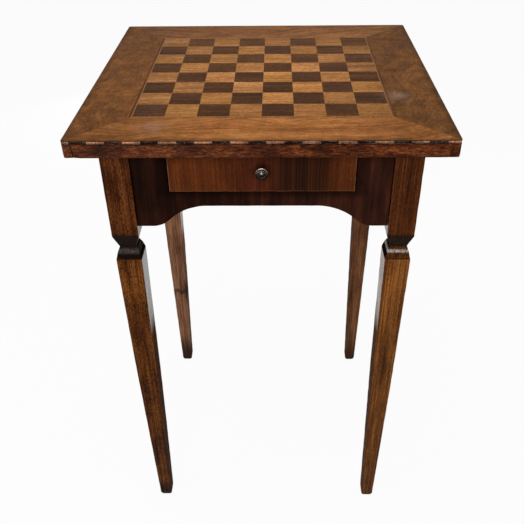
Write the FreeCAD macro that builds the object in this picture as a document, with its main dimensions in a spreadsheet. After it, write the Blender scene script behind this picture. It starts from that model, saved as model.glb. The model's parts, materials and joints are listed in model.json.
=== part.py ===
"""Square game table with an inlaid chess board, four tapered legs and one drawer.

The origin is on the floor under the middle of the table. +Z is up, the drawer
opens towards -Y, and +X is to the right of someone who faces the drawer.
"""
import FreeCAD
import Part
import math
import os
import Sketcher
from collections import namedtuple
from types import SimpleNamespace

# Driving dimensions in millimetres.
SIZES = {
    # The table as a whole.
    "top_width": 480.0,
    "top_depth": 480.0,
    "table_height": 735.0,
    "top_thickness": 24.0,
    "top_overhang": 33.4,
    # Edge of the top.
    "lipping_thickness": 12.0,
    "corner_radius": 3.0,
    "lower_arris_radius": 4.5,
    "chequer_width": 5.0,
    "chequer_height": 3.4,
    "chequer_pitch": 21.6,
    "chequer_lead": 9.5,
    # Inlaid face of the top.
    "veneer_thickness": 1.0,
    "square_side": 41.5,
    "line_width": 4.0,
    "glue_line": 0.15,
    # Legs, from the square block down to the foot.
    "block_side": 37.2,
    "block_length": 131.5,
    "bevel_height": 20.0,
    "neck_side": 23.4,
    "flare_height": 17.0,
    "flare_side": 35.6,
    "flare_break_height": 9.2,
    "flare_break_side": 30.2,
    "quirk_height": 1.0,
    "quirk_depth": 0.8,
    "shaft_side": 36.2,
    "shaft_belly": 1.0,
    "foot_side": 20.4,
    "foot_chamfer": 2.5,
    # Aprons and their joints into the legs.
    "apron_thickness": 20.0,
    "apron_recess": 5.0,
    "apron_height": 117.5,
    "arch_rise": 31.0,
    "arch_end_flat": 20.9,
    "arch_hollow_radius": 75.0,
    "arch_shoulder_radius": 32.0,
    "tenon_thickness": 8.0,
    "tenon_length": 16.0,
    "tenon_shoulder": 12.0,
    "mortise_clearance": 0.5,
    # Corner blocks and the screws that hold the top down.
    "corner_block_reach": 50.0,
    "corner_block_gap": 9.2,
    "corner_block_height": 30.0,
    "screw_radius": 2.0,
    "screw_length": 42.0,
    "screw_point": 5.0,
    "screw_head_radius": 4.0,
    "slot_width": 0.9,
    "slot_depth": 1.0,
    "hole_clearance": 0.15,
    # Drawer opening, runners, guides and stops.
    "apron_stile_width": 46.4,
    "drawer_opening_height": 65.5,
    "drawer_side_gap": 1.2,
    "drawer_top_gap": 1.2,
    "running_gap": 0.3,
    "runner_lap": 4.8,
    "runner_width": 26.0,
    "runner_height": 16.0,
    "runner_housing": 6.0,
    "guide_gap": 0.6,
    "guide_height": 14.0,
    "stop_length": 20.0,
    "stop_height": 12.0,
    # Drawer box.
    "drawer_rear_space": 62.0,
    "drawer_front_thickness": 20.0,
    "drawer_arris": 1.0,
    "drawer_side_thickness": 10.0,
    "drawer_side_drop": 8.0,
    "drawer_back_thickness": 10.0,
    "drawer_back_drop": 4.0,
    "drawer_bottom_thickness": 6.0,
    "drawer_bottom_rise": 9.0,
    "groove_depth": 5.0,
    "tail_lap": 14.0,
    "nail_side": 1.6,
    "nail_length": 20.0,
    "nail_head_side": 3.8,
    "nail_head_height": 0.8,
    # Turned knob, a little below the middle of the drawer, and the screw that holds it.
    "knob_drop": 3.2,
    "knob_foot_radius": 4.6,
    "knob_foot_height": 1.0,
    "knob_neck_radius": 3.4,
    "knob_neck_height": 3.4,
    "knob_rim_radius": 8.2,
    "knob_rim_height": 5.2,
    "knob_rim_thickness": 1.8,
    "knob_bevel": 0.45,
    "knob_ring_radius": 6.3,
    "knob_ring_width": 1.4,
    "knob_ring_rise": 1.7,
    "knob_dome_radius": 4.0,
    "knob_dome_rise": 2.0,
    "knob_bore_depth": 7.0,
    "knob_screw_radius": 1.8,
    "knob_screw_grip": 6.0,
    "knob_screw_head_radius": 4.0,
    "knob_screw_head_height": 2.4,
    # How far a cutting shape runs past the face that it cuts.
    "overrun": 1.0,
}

# Counts and proportions.
SQUARES_PER_SIDE = 8
ROUND_MITRE_SHARE = 1 - math.sqrt(0.5)
TAILS_PER_CORNER = 2
TAIL_ROOT_SHARE = 0.55
TAIL_TIP_SHARE = 0.7
NAIL_PLACE_SHARES = (-0.7, 0.0, 0.7)

# How an arc of an outline curves, going round the outline counter-clockwise.
ROUND = 1
HOLLOW = -1

# Signs of the two sides of the table: left and right, or front and back.
SIDES_X = (("left", -1), ("right", 1))
SIDES_Y = (("front", -1), ("back", 1))


class Length:
    """A length with its value in millimetres and the sheet expression that gives it."""

    def __init__(self, text, value):
        self.text = text
        self.value = value

    def __add__(self, other):
        other = as_length(other)
        return Length(f"({self.text} + {other.text})", self.value + other.value)

    def __sub__(self, other):
        other = as_length(other)
        return Length(f"({self.text} - {other.text})", self.value - other.value)

    def __mul__(self, other):
        other = as_length(other)
        return Length(f"({self.text} * {other.text})", self.value * other.value)

    def __truediv__(self, other):
        other = as_length(other)
        return Length(f"({self.text} / {other.text})", self.value / other.value)

    def __neg__(self):
        return Length(f"(-{self.text})", -self.value)

    def root(self):
        """Square root, for the run of a curve."""
        return Length(f"sqrt({self.text})", math.sqrt(self.value))


def as_length(number):
    """A plain number as a Length, and a Length as it is."""
    if isinstance(number, Length):
        return number
    return Length(f"({number})", number)


# A corner of an outline. With a radius, the side that starts here is an arc.
Corner = namedtuple("Corner", "x y radius curve", defaults=(None, ROUND))

DOC = FreeCAD.newDocument("game_table")
SHEET = DOC.addObject("Spreadsheet::Sheet", "dims")
for row, (alias, size) in enumerate(SIZES.items(), start=1):
    SHEET.set(f"A{row}", alias)
    SHEET.set(f"B{row}", str(size))
    SHEET.setAlias(f"B{row}", alias)
DOC.recompute()

DIM = SimpleNamespace(**{alias: Length(f"dims.{alias}", SHEET.get(alias)) for alias in SIZES})
ZERO = Length("0", 0.0)
NODES = []
CUTS = []

# Places that follow from the driving dimensions.
UNDERSIDE = DIM.table_height - DIM.top_thickness
HALF_X = DIM.top_width / 2
HALF_Y = DIM.top_depth / 2
BOARD_HALF = DIM.square_side * SQUARES_PER_SIDE / 2
LINE_HALF = BOARD_HALF + DIM.line_width
VENEER_LOW = DIM.table_height - DIM.veneer_thickness
CHEQUER_LOW = VENEER_LOW - DIM.chequer_height
CORE_X = HALF_X - DIM.lipping_thickness
CORE_Y = HALF_Y - DIM.lipping_thickness

LEG_X = HALF_X - DIM.top_overhang - DIM.block_side / 2
LEG_Y = HALF_Y - DIM.top_overhang - DIM.block_side / 2
LEG_IN_X = LEG_X - DIM.block_side / 2
LEG_IN_Y = LEG_Y - DIM.block_side / 2
APRON_OUT_X = HALF_X - DIM.top_overhang - DIM.apron_recess
APRON_OUT_Y = HALF_Y - DIM.top_overhang - DIM.apron_recess
APRON_IN_X = APRON_OUT_X - DIM.apron_thickness
APRON_IN_Y = APRON_OUT_Y - DIM.apron_thickness
APRON_LOW = UNDERSIDE - DIM.apron_height
TENON_IN = (DIM.apron_thickness - DIM.tenon_thickness) / 2
TENON_SPAN_X = (APRON_IN_X + TENON_IN, APRON_OUT_X - TENON_IN)
TENON_SPAN_Y = (APRON_IN_Y + TENON_IN, APRON_OUT_Y - TENON_IN)
TENON_SPAN_Z = (APRON_LOW + DIM.tenon_shoulder, UNDERSIDE - DIM.tenon_shoulder)

OPENING_HALF = LEG_IN_X - DIM.apron_stile_width
RAIL_TOP = UNDERSIDE - DIM.drawer_opening_height

DRAWER_HALF = OPENING_HALF - DIM.drawer_side_gap
DRAWER_LOW = RAIL_TOP + DIM.running_gap
DRAWER_HIGH = UNDERSIDE - DIM.drawer_top_gap
DRAWER_FACE = -APRON_OUT_Y
DRAWER_REAR = APRON_IN_Y - DIM.drawer_rear_space
FRONT_SHOULDER = DRAWER_FACE + DIM.drawer_front_thickness
BACK_SHOULDER = DRAWER_REAR - DIM.drawer_back_thickness
SIDE_IN = DRAWER_HALF - DIM.drawer_side_thickness
SIDE_HIGH = DRAWER_HIGH - DIM.drawer_side_drop
BACK_HIGH = SIDE_HIGH - DIM.drawer_back_drop
BOTTOM_LOW = DRAWER_LOW + DIM.drawer_bottom_rise
BOTTOM_HIGH = BOTTOM_LOW + DIM.drawer_bottom_thickness
KNOB_HEIGHT = (DRAWER_LOW + DRAWER_HIGH) / 2 - DIM.knob_drop

RUNNER_IN = SIDE_IN - DIM.runner_lap
RUNNER_SPAN_X = (RUNNER_IN, RUNNER_IN + DIM.runner_width)
RUNNER_SPAN_Z = (RAIL_TOP - DIM.runner_height, RAIL_TOP)
RUNNER_END = APRON_IN_Y + DIM.runner_housing
BLOCK_IN_X = DRAWER_HALF + DIM.corner_block_gap
BLOCK_IN_Y = APRON_IN_Y - DIM.corner_block_reach


def keep(piece, label):
    """Name a finished sub-part and put it on the list that is written out."""
    piece.Label = label
    NODES.append(piece)


def mirrored(span, sign):
    """A low and high place on the right or at the back, carried over to the side of the sign."""
    low, high = span
    return (low, high) if sign > 0 else (-high, -low)


def place(piece, x, y, z):
    """Bind the place of a piece to the sheet."""
    for axis, length in zip("xyz", (x, y, z)):
        piece.setExpression(f"Placement.Base.{axis}", length.text)


def block(name, x, y, z):
    """A rectangular piece between three pairs of low and high places."""
    piece = DOC.addObject("Part::Box", name)
    for side, (low, high) in zip(("Length", "Width", "Height"), (x, y, z)):
        piece.setExpression(side, (high - low).text)
    place(piece, x[0], y[0], z[0])
    return piece


def group(name, pieces):
    """Separate solids of one kind, kept together."""
    compound = DOC.addObject("Part::Compound", name)
    compound.Links = pieces
    return compound


def cut(name, base, tools):
    """A piece with shapes taken out of it."""
    result = DOC.addObject("Part::Cut", name)
    result.Base = base
    result.Tool = tools[0] if len(tools) == 1 else group(f"{name}_tools", tools)
    CUTS.append((result, base))
    return result


def common(name, pieces):
    """What several shapes share."""
    result = DOC.addObject("Part::MultiCommon", name)
    result.Shapes = pieces
    return result


def fuse(name, pieces):
    """Shapes worked from one board."""
    result = DOC.addObject("Part::MultiFuse", name)
    result.Shapes = pieces
    result.Refine = True
    return result


def arc(start, end, radius, curve):
    """The short arc between two points, with its centre left of the way when it is round."""
    chord = end - start
    left = FreeCAD.Vector(-chord.y, chord.x, 0).normalize()
    reach = math.sqrt(max(radius ** 2 - (chord.Length / 2) ** 2, 0.0))
    centre = (start + end) * 0.5 + left * (curve * reach)
    first, last = (start, end) if curve == ROUND else (end, start)
    angles = [math.atan2(point.y - centre.y, point.x - centre.x) for point in (first, last)]
    if angles[1] < angles[0]:
        angles[1] += 2 * math.pi
    return Part.ArcOfCircle(Part.Circle(centre, FreeCAD.Vector(0, 0, 1), radius), *angles)


def hold(sketch, kind, geometry, point, length):
    """Hold one coordinate of a point of a sketch to its sheet expression."""
    if length.text == ZERO.text:
        axis = -2 if kind == "DistanceX" else -1
        sketch.addConstraint(Sketcher.Constraint("PointOnObject", geometry, point, axis))
        return
    rule = Sketcher.Constraint(kind, -1, 1, geometry, point, length.value)
    index = sketch.addConstraint(rule)
    sketch.setExpression(f"Constraints[{index}]", length.text)


def draw(sketch, outline):
    """Draw a closed outline whose corners and radii are held to the sheet."""
    points = [FreeCAD.Vector(corner.x.value, corner.y.value, 0) for corner in outline]
    sides = []
    for index, corner in enumerate(outline):
        start = points[index]
        end = points[(index + 1) % len(points)]
        if corner.radius is None:
            sides.append((sketch.addGeometry(Part.LineSegment(start, end)), 1, 2))
            continue
        geometry = sketch.addGeometry(arc(start, end, corner.radius.value, corner.curve))
        sides.append((geometry, 1, 2) if corner.curve == ROUND else (geometry, 2, 1))
    for index, corner in enumerate(outline):
        geometry, first, _ = sides[index]
        before, _, last = sides[index - 1]
        sketch.addConstraint(Sketcher.Constraint("Coincident", before, last, geometry, first))
        hold(sketch, "DistanceX", geometry, first, corner.x)
        hold(sketch, "DistanceY", geometry, first, corner.y)
        if corner.radius is not None:
            rule = Sketcher.Constraint("Radius", geometry, corner.radius.value)
            number = sketch.addConstraint(rule)
            sketch.setExpression(f"Constraints[{number}]", corner.radius.text)


def sketch_in(body, plane, offset, outline):
    """A sketch of a body on one of its origin planes, moved along the plane's normal."""
    sketch = body.newObject("Sketcher::SketchObject", f"{body.Name}_sketch")
    support = [item for item in body.Origin.OriginFeatures if item.Role == f"{plane}_Plane"]
    sketch.AttachmentSupport = [(support[0], "")]
    sketch.MapMode = "FlatFace"
    sketch.setExpression("AttachmentOffset.Base.z", offset.text)
    draw(sketch, outline)
    return sketch


def prism(name, plane, outline, span):
    """A board with an outline in one plane, between two places across that plane."""
    body = DOC.addObject("PartDesign::Body", name)
    low, high = span
    offset = -high if plane == "XZ" else low
    sketch = sketch_in(body, plane, offset, outline)
    pad = body.newObject("PartDesign::Pad", f"{name}_pad")
    pad.Profile = sketch
    pad.setExpression("Length", (high - low).text)
    body.Tip = pad
    return body


def turned(name, outline):
    """A piece turned about its own Z axis from a half outline of radius and height."""
    body = DOC.addObject("PartDesign::Body", name)
    sketch = sketch_in(body, "XZ", ZERO, outline)
    spin = body.newObject("PartDesign::Revolution", f"{name}_turning")
    spin.Profile = sketch
    spin.ReferenceAxis = (sketch, ["V_Axis"])
    body.Tip = spin
    return body


def face_front(piece):
    """Turn a piece so that its own Z axis points out of the front of the table."""
    piece.Placement.Rotation = FreeCAD.Rotation(FreeCAD.Vector(1, 0, 0), 90)


def symmetric(half, middle):
    """A whole outline from its right half, both sides of a middle."""
    right = [corner._replace(x=middle + corner.x) for corner in half]
    left = []
    for index in reversed(range(len(half))):
        before = half[index - 1] if index > 0 else Corner(ZERO, ZERO)
        left.append(Corner(middle - half[index].x, half[index].y, before.radius, before.curve))
    return right + left


def other_side(outline, sign):
    """An outline drawn on the right, carried over to the side of the sign."""
    if sign > 0:
        return outline
    count = len(outline)
    return [Corner(-outline[index].x, outline[index].y, outline[index - 1].radius,
                   outline[index - 1].curve) for index in reversed(range(count))]


def facing(outline, sign):
    """An outline drawn at the back, carried over to the front where the sign is negative."""
    return [corner._replace(y=corner.y * sign, curve=corner.curve * sign) for corner in outline]


def make_core():
    """The solid panel under the veneer, drilled for the screws of the corner blocks."""
    panel = block("top_core_panel", (-CORE_X, CORE_X), (-CORE_Y, CORE_Y), (UNDERSIDE, VENEER_LOW))
    keep(cut("top_core_drilled", panel, SCREW_HOLES), "top_core")


def edge_outline(half):
    """Section of an edge strip: a round lower arris, and a rebate above for the chequer strip."""
    arris = DIM.lower_arris_radius
    return [Corner(half - arris, UNDERSIDE, arris),
            Corner(half, UNDERSIDE + arris),
            Corner(half, CHEQUER_LOW),
            Corner(half - DIM.chequer_width, CHEQUER_LOW),
            Corner(half - DIM.chequer_width, VENEER_LOW)]


def make_lippings():
    """Edge strips: the side ones run through, and the front and back ones stand between them."""
    section = [Corner(CORE_Y, UNDERSIDE)] + edge_outline(HALF_Y) + [Corner(CORE_Y, VENEER_LOW)]
    for name, sign in SIDES_Y:
        label = f"lipping_{name}"
        strip = prism(f"{label}_strip", "YZ", other_side(section, sign), (-CORE_X, CORE_X))
        keep(strip, label)

    section = [Corner(CORE_X, UNDERSIDE)] + edge_outline(HALF_X) + [Corner(CORE_X, VENEER_LOW)]
    ends = symmetric(edge_outline(HALF_Y), ZERO)
    corner = DIM.corner_radius
    plan = [Corner(CORE_X, -HALF_Y),
            Corner(HALF_X - corner, -HALF_Y, corner),
            Corner(HALF_X, corner - HALF_Y),
            Corner(HALF_X, HALF_Y - corner, corner),
            Corner(HALF_X - corner, HALF_Y),
            Corner(CORE_X, HALF_Y)]
    for name, sign in SIDES_X:
        label = f"lipping_{name}"
        strip = prism(f"{label}_strip", "XZ", other_side(section, sign), (-HALF_Y, HALF_Y))
        ended = prism(f"{label}_ends", "YZ", ends, mirrored((CORE_X, HALF_X), sign))
        rounded = prism(f"{label}_plan", "XY", other_side(plan, sign), (UNDERSIDE, VENEER_LOW))
        keep(common(f"{label}_shaped", [strip, ended, rounded]), label)


def make_borders():
    """Four mitred border veneers that run from the line of the board over the edge strips."""
    corner = DIM.corner_radius
    mitre_x = HALF_X - corner * ROUND_MITRE_SHARE
    mitre_y = HALF_Y - corner * ROUND_MITRE_SHARE
    thickness = (VENEER_LOW, DIM.table_height)
    long_half = [Corner(LINE_HALF, LINE_HALF),
                 Corner(mitre_x, mitre_y, corner),
                 Corner(HALF_X - corner, HALF_Y)]
    side_half = [Corner(LINE_HALF, LINE_HALF),
                 Corner(mitre_y, mitre_x, corner),
                 Corner(HALF_Y - corner, HALF_X)]
    for name, sign in SIDES_Y:
        outline = facing(symmetric(long_half, ZERO), sign)
        keep(prism(f"border_{name}_veneer", "XY", outline, thickness), f"border_{name}")
    for name, sign in SIDES_X:
        outline = [spot._replace(x=spot.y, y=spot.x, curve=-spot.curve)
                   for spot in facing(symmetric(side_half, ZERO), sign)]
        keep(prism(f"border_{name}_veneer", "XY", outline, thickness), f"border_{name}")


def make_board():
    """The squares of the board, dark at the near left, and the line round them."""
    thickness = (VENEER_LOW, DIM.table_height)
    squares = {"dark": [], "light": []}
    for column in range(SQUARES_PER_SIDE):
        for row in range(SQUARES_PER_SIDE):
            spans = []
            for step in (column, row):
                low = DIM.square_side * step - BOARD_HALF + DIM.glue_line / 2
                spans.append((low, low + DIM.square_side - DIM.glue_line))
            tone = "dark" if (column + row) % 2 == 0 else "light"
            squares[tone].append(block(f"{tone}_square", *spans, thickness))
    for tone, pieces in squares.items():
        keep(group(f"{tone}_field", pieces), f"{tone}_squares")

    band = (BOARD_HALF, LINE_HALF)
    lines = []
    for _, sign in SIDES_Y:
        lines.append(block("line_strip", (-LINE_HALF, LINE_HALF), mirrored(band, sign), thickness))
    for _, sign in SIDES_X:
        lines.append(block("line_strip", mirrored(band, sign), (-BOARD_HALF, BOARD_HALF), thickness))
    keep(group("line_frame", lines), "board_lines")


def chequer_spans(low, high, lead):
    """Places of the pieces of a chequer strip: a lead piece, full pieces and what is left."""
    count = math.floor((high.value - low.value - lead.value) / DIM.chequer_pitch.value)
    edges = [low] + [low + lead + DIM.chequer_pitch * step for step in range(count + 1)] + [high]
    gap = DIM.glue_line / 2
    spans = [(start + gap, end - gap) for start, end in zip(edges, edges[1:])]
    spans[0] = (low, spans[0][1])
    spans[-1] = (spans[-1][0], high)
    return spans


def corner_piece(span, sign_x, sign_y):
    """An end piece of the front or back chequer strip, rounded at the corner of the top."""
    corner = DIM.corner_radius
    inner = span[0] if sign_x > 0 else -span[1]
    outline = [Corner(inner, HALF_Y - DIM.chequer_width),
               Corner(HALF_X, HALF_Y - DIM.chequer_width),
               Corner(HALF_X, HALF_Y - corner, corner),
               Corner(HALF_X - corner, HALF_Y),
               Corner(inner, HALF_Y)]
    signed = [corner._replace(x=corner.x * sign_x, y=corner.y * sign_y,
                              curve=corner.curve * sign_x * sign_y) for corner in outline]
    return prism("chequer_corner", "XY", signed, (CHEQUER_LOW, VENEER_LOW))


def make_chequer():
    """Light and dark pieces in turn along the edges of the top, under the rim of the veneer."""
    pieces = {"light": [], "dark": []}
    tones = ("light", "dark")
    height = (CHEQUER_LOW, VENEER_LOW)
    for _, sign in SIDES_Y:
        across = mirrored((HALF_Y - DIM.chequer_width, HALF_Y), sign)
        spans = chequer_spans(-HALF_X, HALF_X, DIM.chequer_lead)
        for index, span in enumerate(spans):
            along = mirrored(span, -sign)
            if index in (0, len(spans) - 1):
                end = sign if index == 0 else -sign
                piece = corner_piece(along, end, sign)
            else:
                piece = block("chequer_piece", along, across, height)
            pieces[tones[index % 2]].append(piece)
    end_y = HALF_Y - DIM.chequer_width - DIM.glue_line
    for _, sign in SIDES_X:
        across = mirrored((HALF_X - DIM.chequer_width, HALF_X), sign)
        for index, span in enumerate(chequer_spans(-end_y, end_y, DIM.chequer_pitch)):
            piece = block("chequer_piece", across, mirrored(span, -sign), height)
            pieces[tones[(index + 1) % 2]].append(piece)
    for tone in tones:
        keep(group(f"chequer_{tone}_strip", pieces[tone]), f"edge_chequer_{tone}")


def leg_outline():
    """Right half of a leg: foot, bellied shaft, quirk, flare, bevelled neck and square block."""
    foot = DIM.foot_side / 2
    shaft = DIM.shaft_side / 2
    flare = DIM.flare_side / 2
    neck = DIM.neck_side / 2
    wide = DIM.block_side / 2
    block_low = UNDERSIDE - DIM.block_length
    neck_low = block_low - DIM.bevel_height
    flare_low = neck_low - DIM.flare_height
    shaft_high = flare_low - DIM.quirk_height
    rise = shaft_high - DIM.foot_chamfer
    chord = rise * rise + (shaft - foot) * (shaft - foot)
    belly = chord / DIM.shaft_belly / 8 + DIM.shaft_belly / 2
    return [Corner(foot - DIM.foot_chamfer, ZERO),
            Corner(foot, DIM.foot_chamfer, belly),
            Corner(shaft, shaft_high),
            Corner(flare - DIM.quirk_depth, shaft_high),
            Corner(flare - DIM.quirk_depth, flare_low),
            Corner(flare, flare_low),
            Corner(DIM.flare_break_side / 2, flare_low + DIM.flare_break_height),
            Corner(neck, neck_low),
            Corner(wide, block_low),
            Corner(wide, UNDERSIDE)]


def make_legs():
    """Four legs, square all the way down, each with a mortise for either apron."""
    half = leg_outline()
    wide = DIM.block_side / 2
    depth = DIM.tenon_length + DIM.mortise_clearance
    for name_y, sign_y in SIDES_Y:
        for name_x, sign_x in SIDES_X:
            label = f"leg_{name_y}_{name_x}"
            x, y = LEG_X * sign_x, LEG_Y * sign_y
            front = prism(f"{label}_front", "XZ", symmetric(half, x), (y - wide, y + wide))
            side = prism(f"{label}_side", "YZ", symmetric(half, y), (x - wide, x + wide))
            for_long = block(f"{label}_mortise_x", mirrored((LEG_IN_X, LEG_IN_X + depth), sign_x),
                             mirrored(TENON_SPAN_Y, sign_y), TENON_SPAN_Z)
            for_side = block(f"{label}_mortise_y", mirrored(TENON_SPAN_X, sign_x),
                             mirrored((LEG_IN_Y, LEG_IN_Y + depth), sign_y), TENON_SPAN_Z)
            square = common(f"{label}_square", [front, side])
            keep(cut(f"{label}_mortised", square, [for_long, for_side]), label)


def apron_outline(half_length):
    """Right half of an apron: a long arch below, with a hollow and a round shoulder to each end."""
    hollow = DIM.arch_hollow_radius
    shoulder = DIM.arch_shoulder_radius
    reach = hollow + shoulder
    drop = reach - DIM.arch_rise
    run = (reach * reach - drop * drop).root()
    half_flat = half_length - DIM.arch_end_flat - run
    high = APRON_LOW + DIM.arch_rise
    return [Corner(half_flat, high, hollow, HOLLOW),
            Corner(half_flat + run * hollow / reach, high - DIM.arch_rise * hollow / reach, shoulder),
            Corner(half_flat + run, APRON_LOW),
            Corner(half_length, APRON_LOW),
            Corner(half_length, UNDERSIDE)]


def make_long_aprons():
    """Front apron, cut out for the drawer, and back apron, both housed for the runners."""
    notch = [Corner(OPENING_HALF, UNDERSIDE), Corner(OPENING_HALF, RAIL_TOP)]
    faces = (APRON_IN_Y, APRON_OUT_Y)
    for name, sign in SIDES_Y:
        label = f"{name}_apron"
        half = apron_outline(LEG_IN_X) + (notch if name == "front" else [])
        board = prism(f"{label}_board", "XZ", symmetric(half, ZERO), mirrored(faces, sign))
        tenons = []
        housings = []
        for side, sign_x in SIDES_X:
            reach = mirrored((LEG_IN_X, LEG_IN_X + DIM.tenon_length), sign_x)
            tenons.append(block(f"{label}_tenon_{side}", reach, mirrored(TENON_SPAN_Y, sign),
                                TENON_SPAN_Z))
            seat = mirrored((APRON_IN_Y - DIM.overrun, RUNNER_END), sign)
            housings.append(block(f"{label}_housing_{side}", mirrored(RUNNER_SPAN_X, sign_x), seat,
                                  RUNNER_SPAN_Z))
        keep(cut(f"{label}_housed", fuse(f"{label}_tenoned", [board] + tenons), housings), label)


def make_side_aprons():
    """Left and right aprons, tenoned into the legs."""
    for name, sign in SIDES_X:
        label = f"{name}_apron"
        outline = symmetric(apron_outline(LEG_IN_Y), ZERO)
        board = prism(f"{label}_board", "YZ", outline, mirrored((APRON_IN_X, APRON_OUT_X), sign))
        tenons = []
        for side, sign_y in SIDES_Y:
            reach = mirrored((LEG_IN_Y, LEG_IN_Y + DIM.tenon_length), sign_y)
            tenons.append(block(f"{label}_tenon_{side}", mirrored(TENON_SPAN_X, sign), reach,
                                TENON_SPAN_Z))
        keep(fuse(f"{label}_tenoned", [board] + tenons), label)


def screw_outline(spare):
    """Half outline of a countersunk screw, head down, up to its point, with spare room round it."""
    head = DIM.screw_head_radius + spare
    shank = DIM.screw_radius + spare
    return [Corner(ZERO, ZERO),
            Corner(head, ZERO),
            Corner(shank, head - shank),
            Corner(shank, DIM.screw_length - DIM.screw_point)]


def screw_places():
    """Where the screws stand: in each corner block, halfway from the leg to the long face."""
    low = UNDERSIDE - DIM.corner_block_height
    x = (LEG_IN_X + (APRON_IN_X + BLOCK_IN_X) / 2) / 2
    y = (LEG_IN_Y + (APRON_IN_Y + BLOCK_IN_Y) / 2) / 2
    return [(x * sign_x, y * sign_y, low) for _, sign_y in SIDES_Y for _, sign_x in SIDES_X]


def make_screw_holes():
    """Cutting shapes for the flat-bottomed holes that the screws of the top stand in."""
    deep = DIM.screw_length + DIM.hole_clearance
    shank = DIM.screw_radius + DIM.hole_clearance
    outline = screw_outline(DIM.hole_clearance)[:-1] + [Corner(shank, deep), Corner(ZERO, deep)]
    holes = []
    for spot in screw_places():
        hole = turned("screw_hole", outline)
        place(hole, *spot)
        holes.append(hole)
    return holes


def make_corner_blocks():
    """A glued block in each inner corner of the frame, fitted round the leg and drilled."""
    outline = [(LEG_IN_X, APRON_IN_Y), (LEG_IN_X, LEG_IN_Y), (APRON_IN_X, LEG_IN_Y),
               (APRON_IN_X, BLOCK_IN_Y), (BLOCK_IN_X, APRON_IN_Y)]
    height = (UNDERSIDE - DIM.corner_block_height, UNDERSIDE)
    corners = [(name_y, sign_y, name_x, sign_x) for name_y, sign_y in SIDES_Y
               for name_x, sign_x in SIDES_X]
    for hole, (name_y, sign_y, name_x, sign_x) in zip(SCREW_HOLES, corners):
        label = f"corner_block_{name_y}_{name_x}"
        plan = [Corner(x * sign_x, y * sign_y) for x, y in outline]
        blank = prism(f"{label}_blank", "XY", plan, height)
        keep(cut(f"{label}_drilled", blank, [hole]), label)


def slotted(name, body, head_radius, spot):
    """A screw with a slot across its head, which lies at the spot."""
    x, y, z = spot
    reach = head_radius + DIM.overrun
    half_slot = DIM.slot_width / 2
    slot = block(f"{name}_slot", (x - reach, x + reach), (y - half_slot, y + half_slot),
                 (z - DIM.overrun, z + DIM.slot_depth))
    return cut(name, body, [slot])


def make_top_screws():
    """The screws that hold the top to the corner blocks."""
    outline = screw_outline(ZERO) + [Corner(ZERO, DIM.screw_length)]
    screws = []
    for spot in screw_places():
        screw = turned("top_screw_blank", outline)
        place(screw, *spot)
        screws.append(slotted("top_screw", screw, DIM.screw_head_radius, spot))
    keep(group("top_screw_set", screws), "top_screws")


def make_runners():
    """Runners under the sides of the drawer, the guides on them, and the stops behind it."""
    stops = []
    for name, sign in SIDES_X:
        across = mirrored(RUNNER_SPAN_X, sign)
        runner = block(f"runner_{name}_strip", across, (-RUNNER_END, RUNNER_END), RUNNER_SPAN_Z)
        keep(runner, f"drawer_runner_{name}")
        beside = mirrored((DRAWER_HALF + DIM.guide_gap, RUNNER_SPAN_X[1]), sign)
        guide = block(f"guide_{name}_strip", beside, (-APRON_IN_Y, APRON_IN_Y),
                      (RAIL_TOP, RAIL_TOP + DIM.guide_height))
        keep(guide, f"drawer_guide_{name}")
        start = DRAWER_REAR + DIM.running_gap
        stops.append(block(f"stop_{name}", mirrored((SIDE_IN, DRAWER_HALF), sign),
                           (start, start + DIM.stop_length),
                           (RAIL_TOP, RAIL_TOP + DIM.stop_height)))
    keep(group("stop_pair", stops), "drawer_stops")


def tails(shoulder, tip, low, high):
    """Corners of the dovetails between two heights, from their roots on a shoulder to their tips."""
    pitch = (high - low) / TAILS_PER_CORNER
    root = pitch * TAIL_ROOT_SHARE / 2
    wide = pitch * TAIL_TIP_SHARE / 2
    result = []
    for index in range(TAILS_PER_CORNER):
        middle = low + pitch * (index + 0.5)
        result.append([Corner(shoulder, middle - root), Corner(tip, middle - wide),
                       Corner(tip, middle + wide), Corner(shoulder, middle + root)])
    return result


def front_tails():
    """Dovetails that lap into the back of the drawer front."""
    return tails(FRONT_SHOULDER, FRONT_SHOULDER - DIM.tail_lap, DRAWER_LOW, SIDE_HIGH)


def back_tails():
    """Dovetails that pass through the drawer back."""
    return tails(BACK_SHOULDER, DRAWER_REAR, BOTTOM_HIGH, BACK_HIGH)


def sockets(name, outlines):
    """Cutting shapes for the sockets of both drawer sides."""
    shapes = []
    for _, sign in SIDES_X:
        across = mirrored((SIDE_IN, DRAWER_HALF + DIM.overrun), sign)
        shapes += [prism(name, "YZ", outline, across) for outline in outlines]
    return shapes


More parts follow.
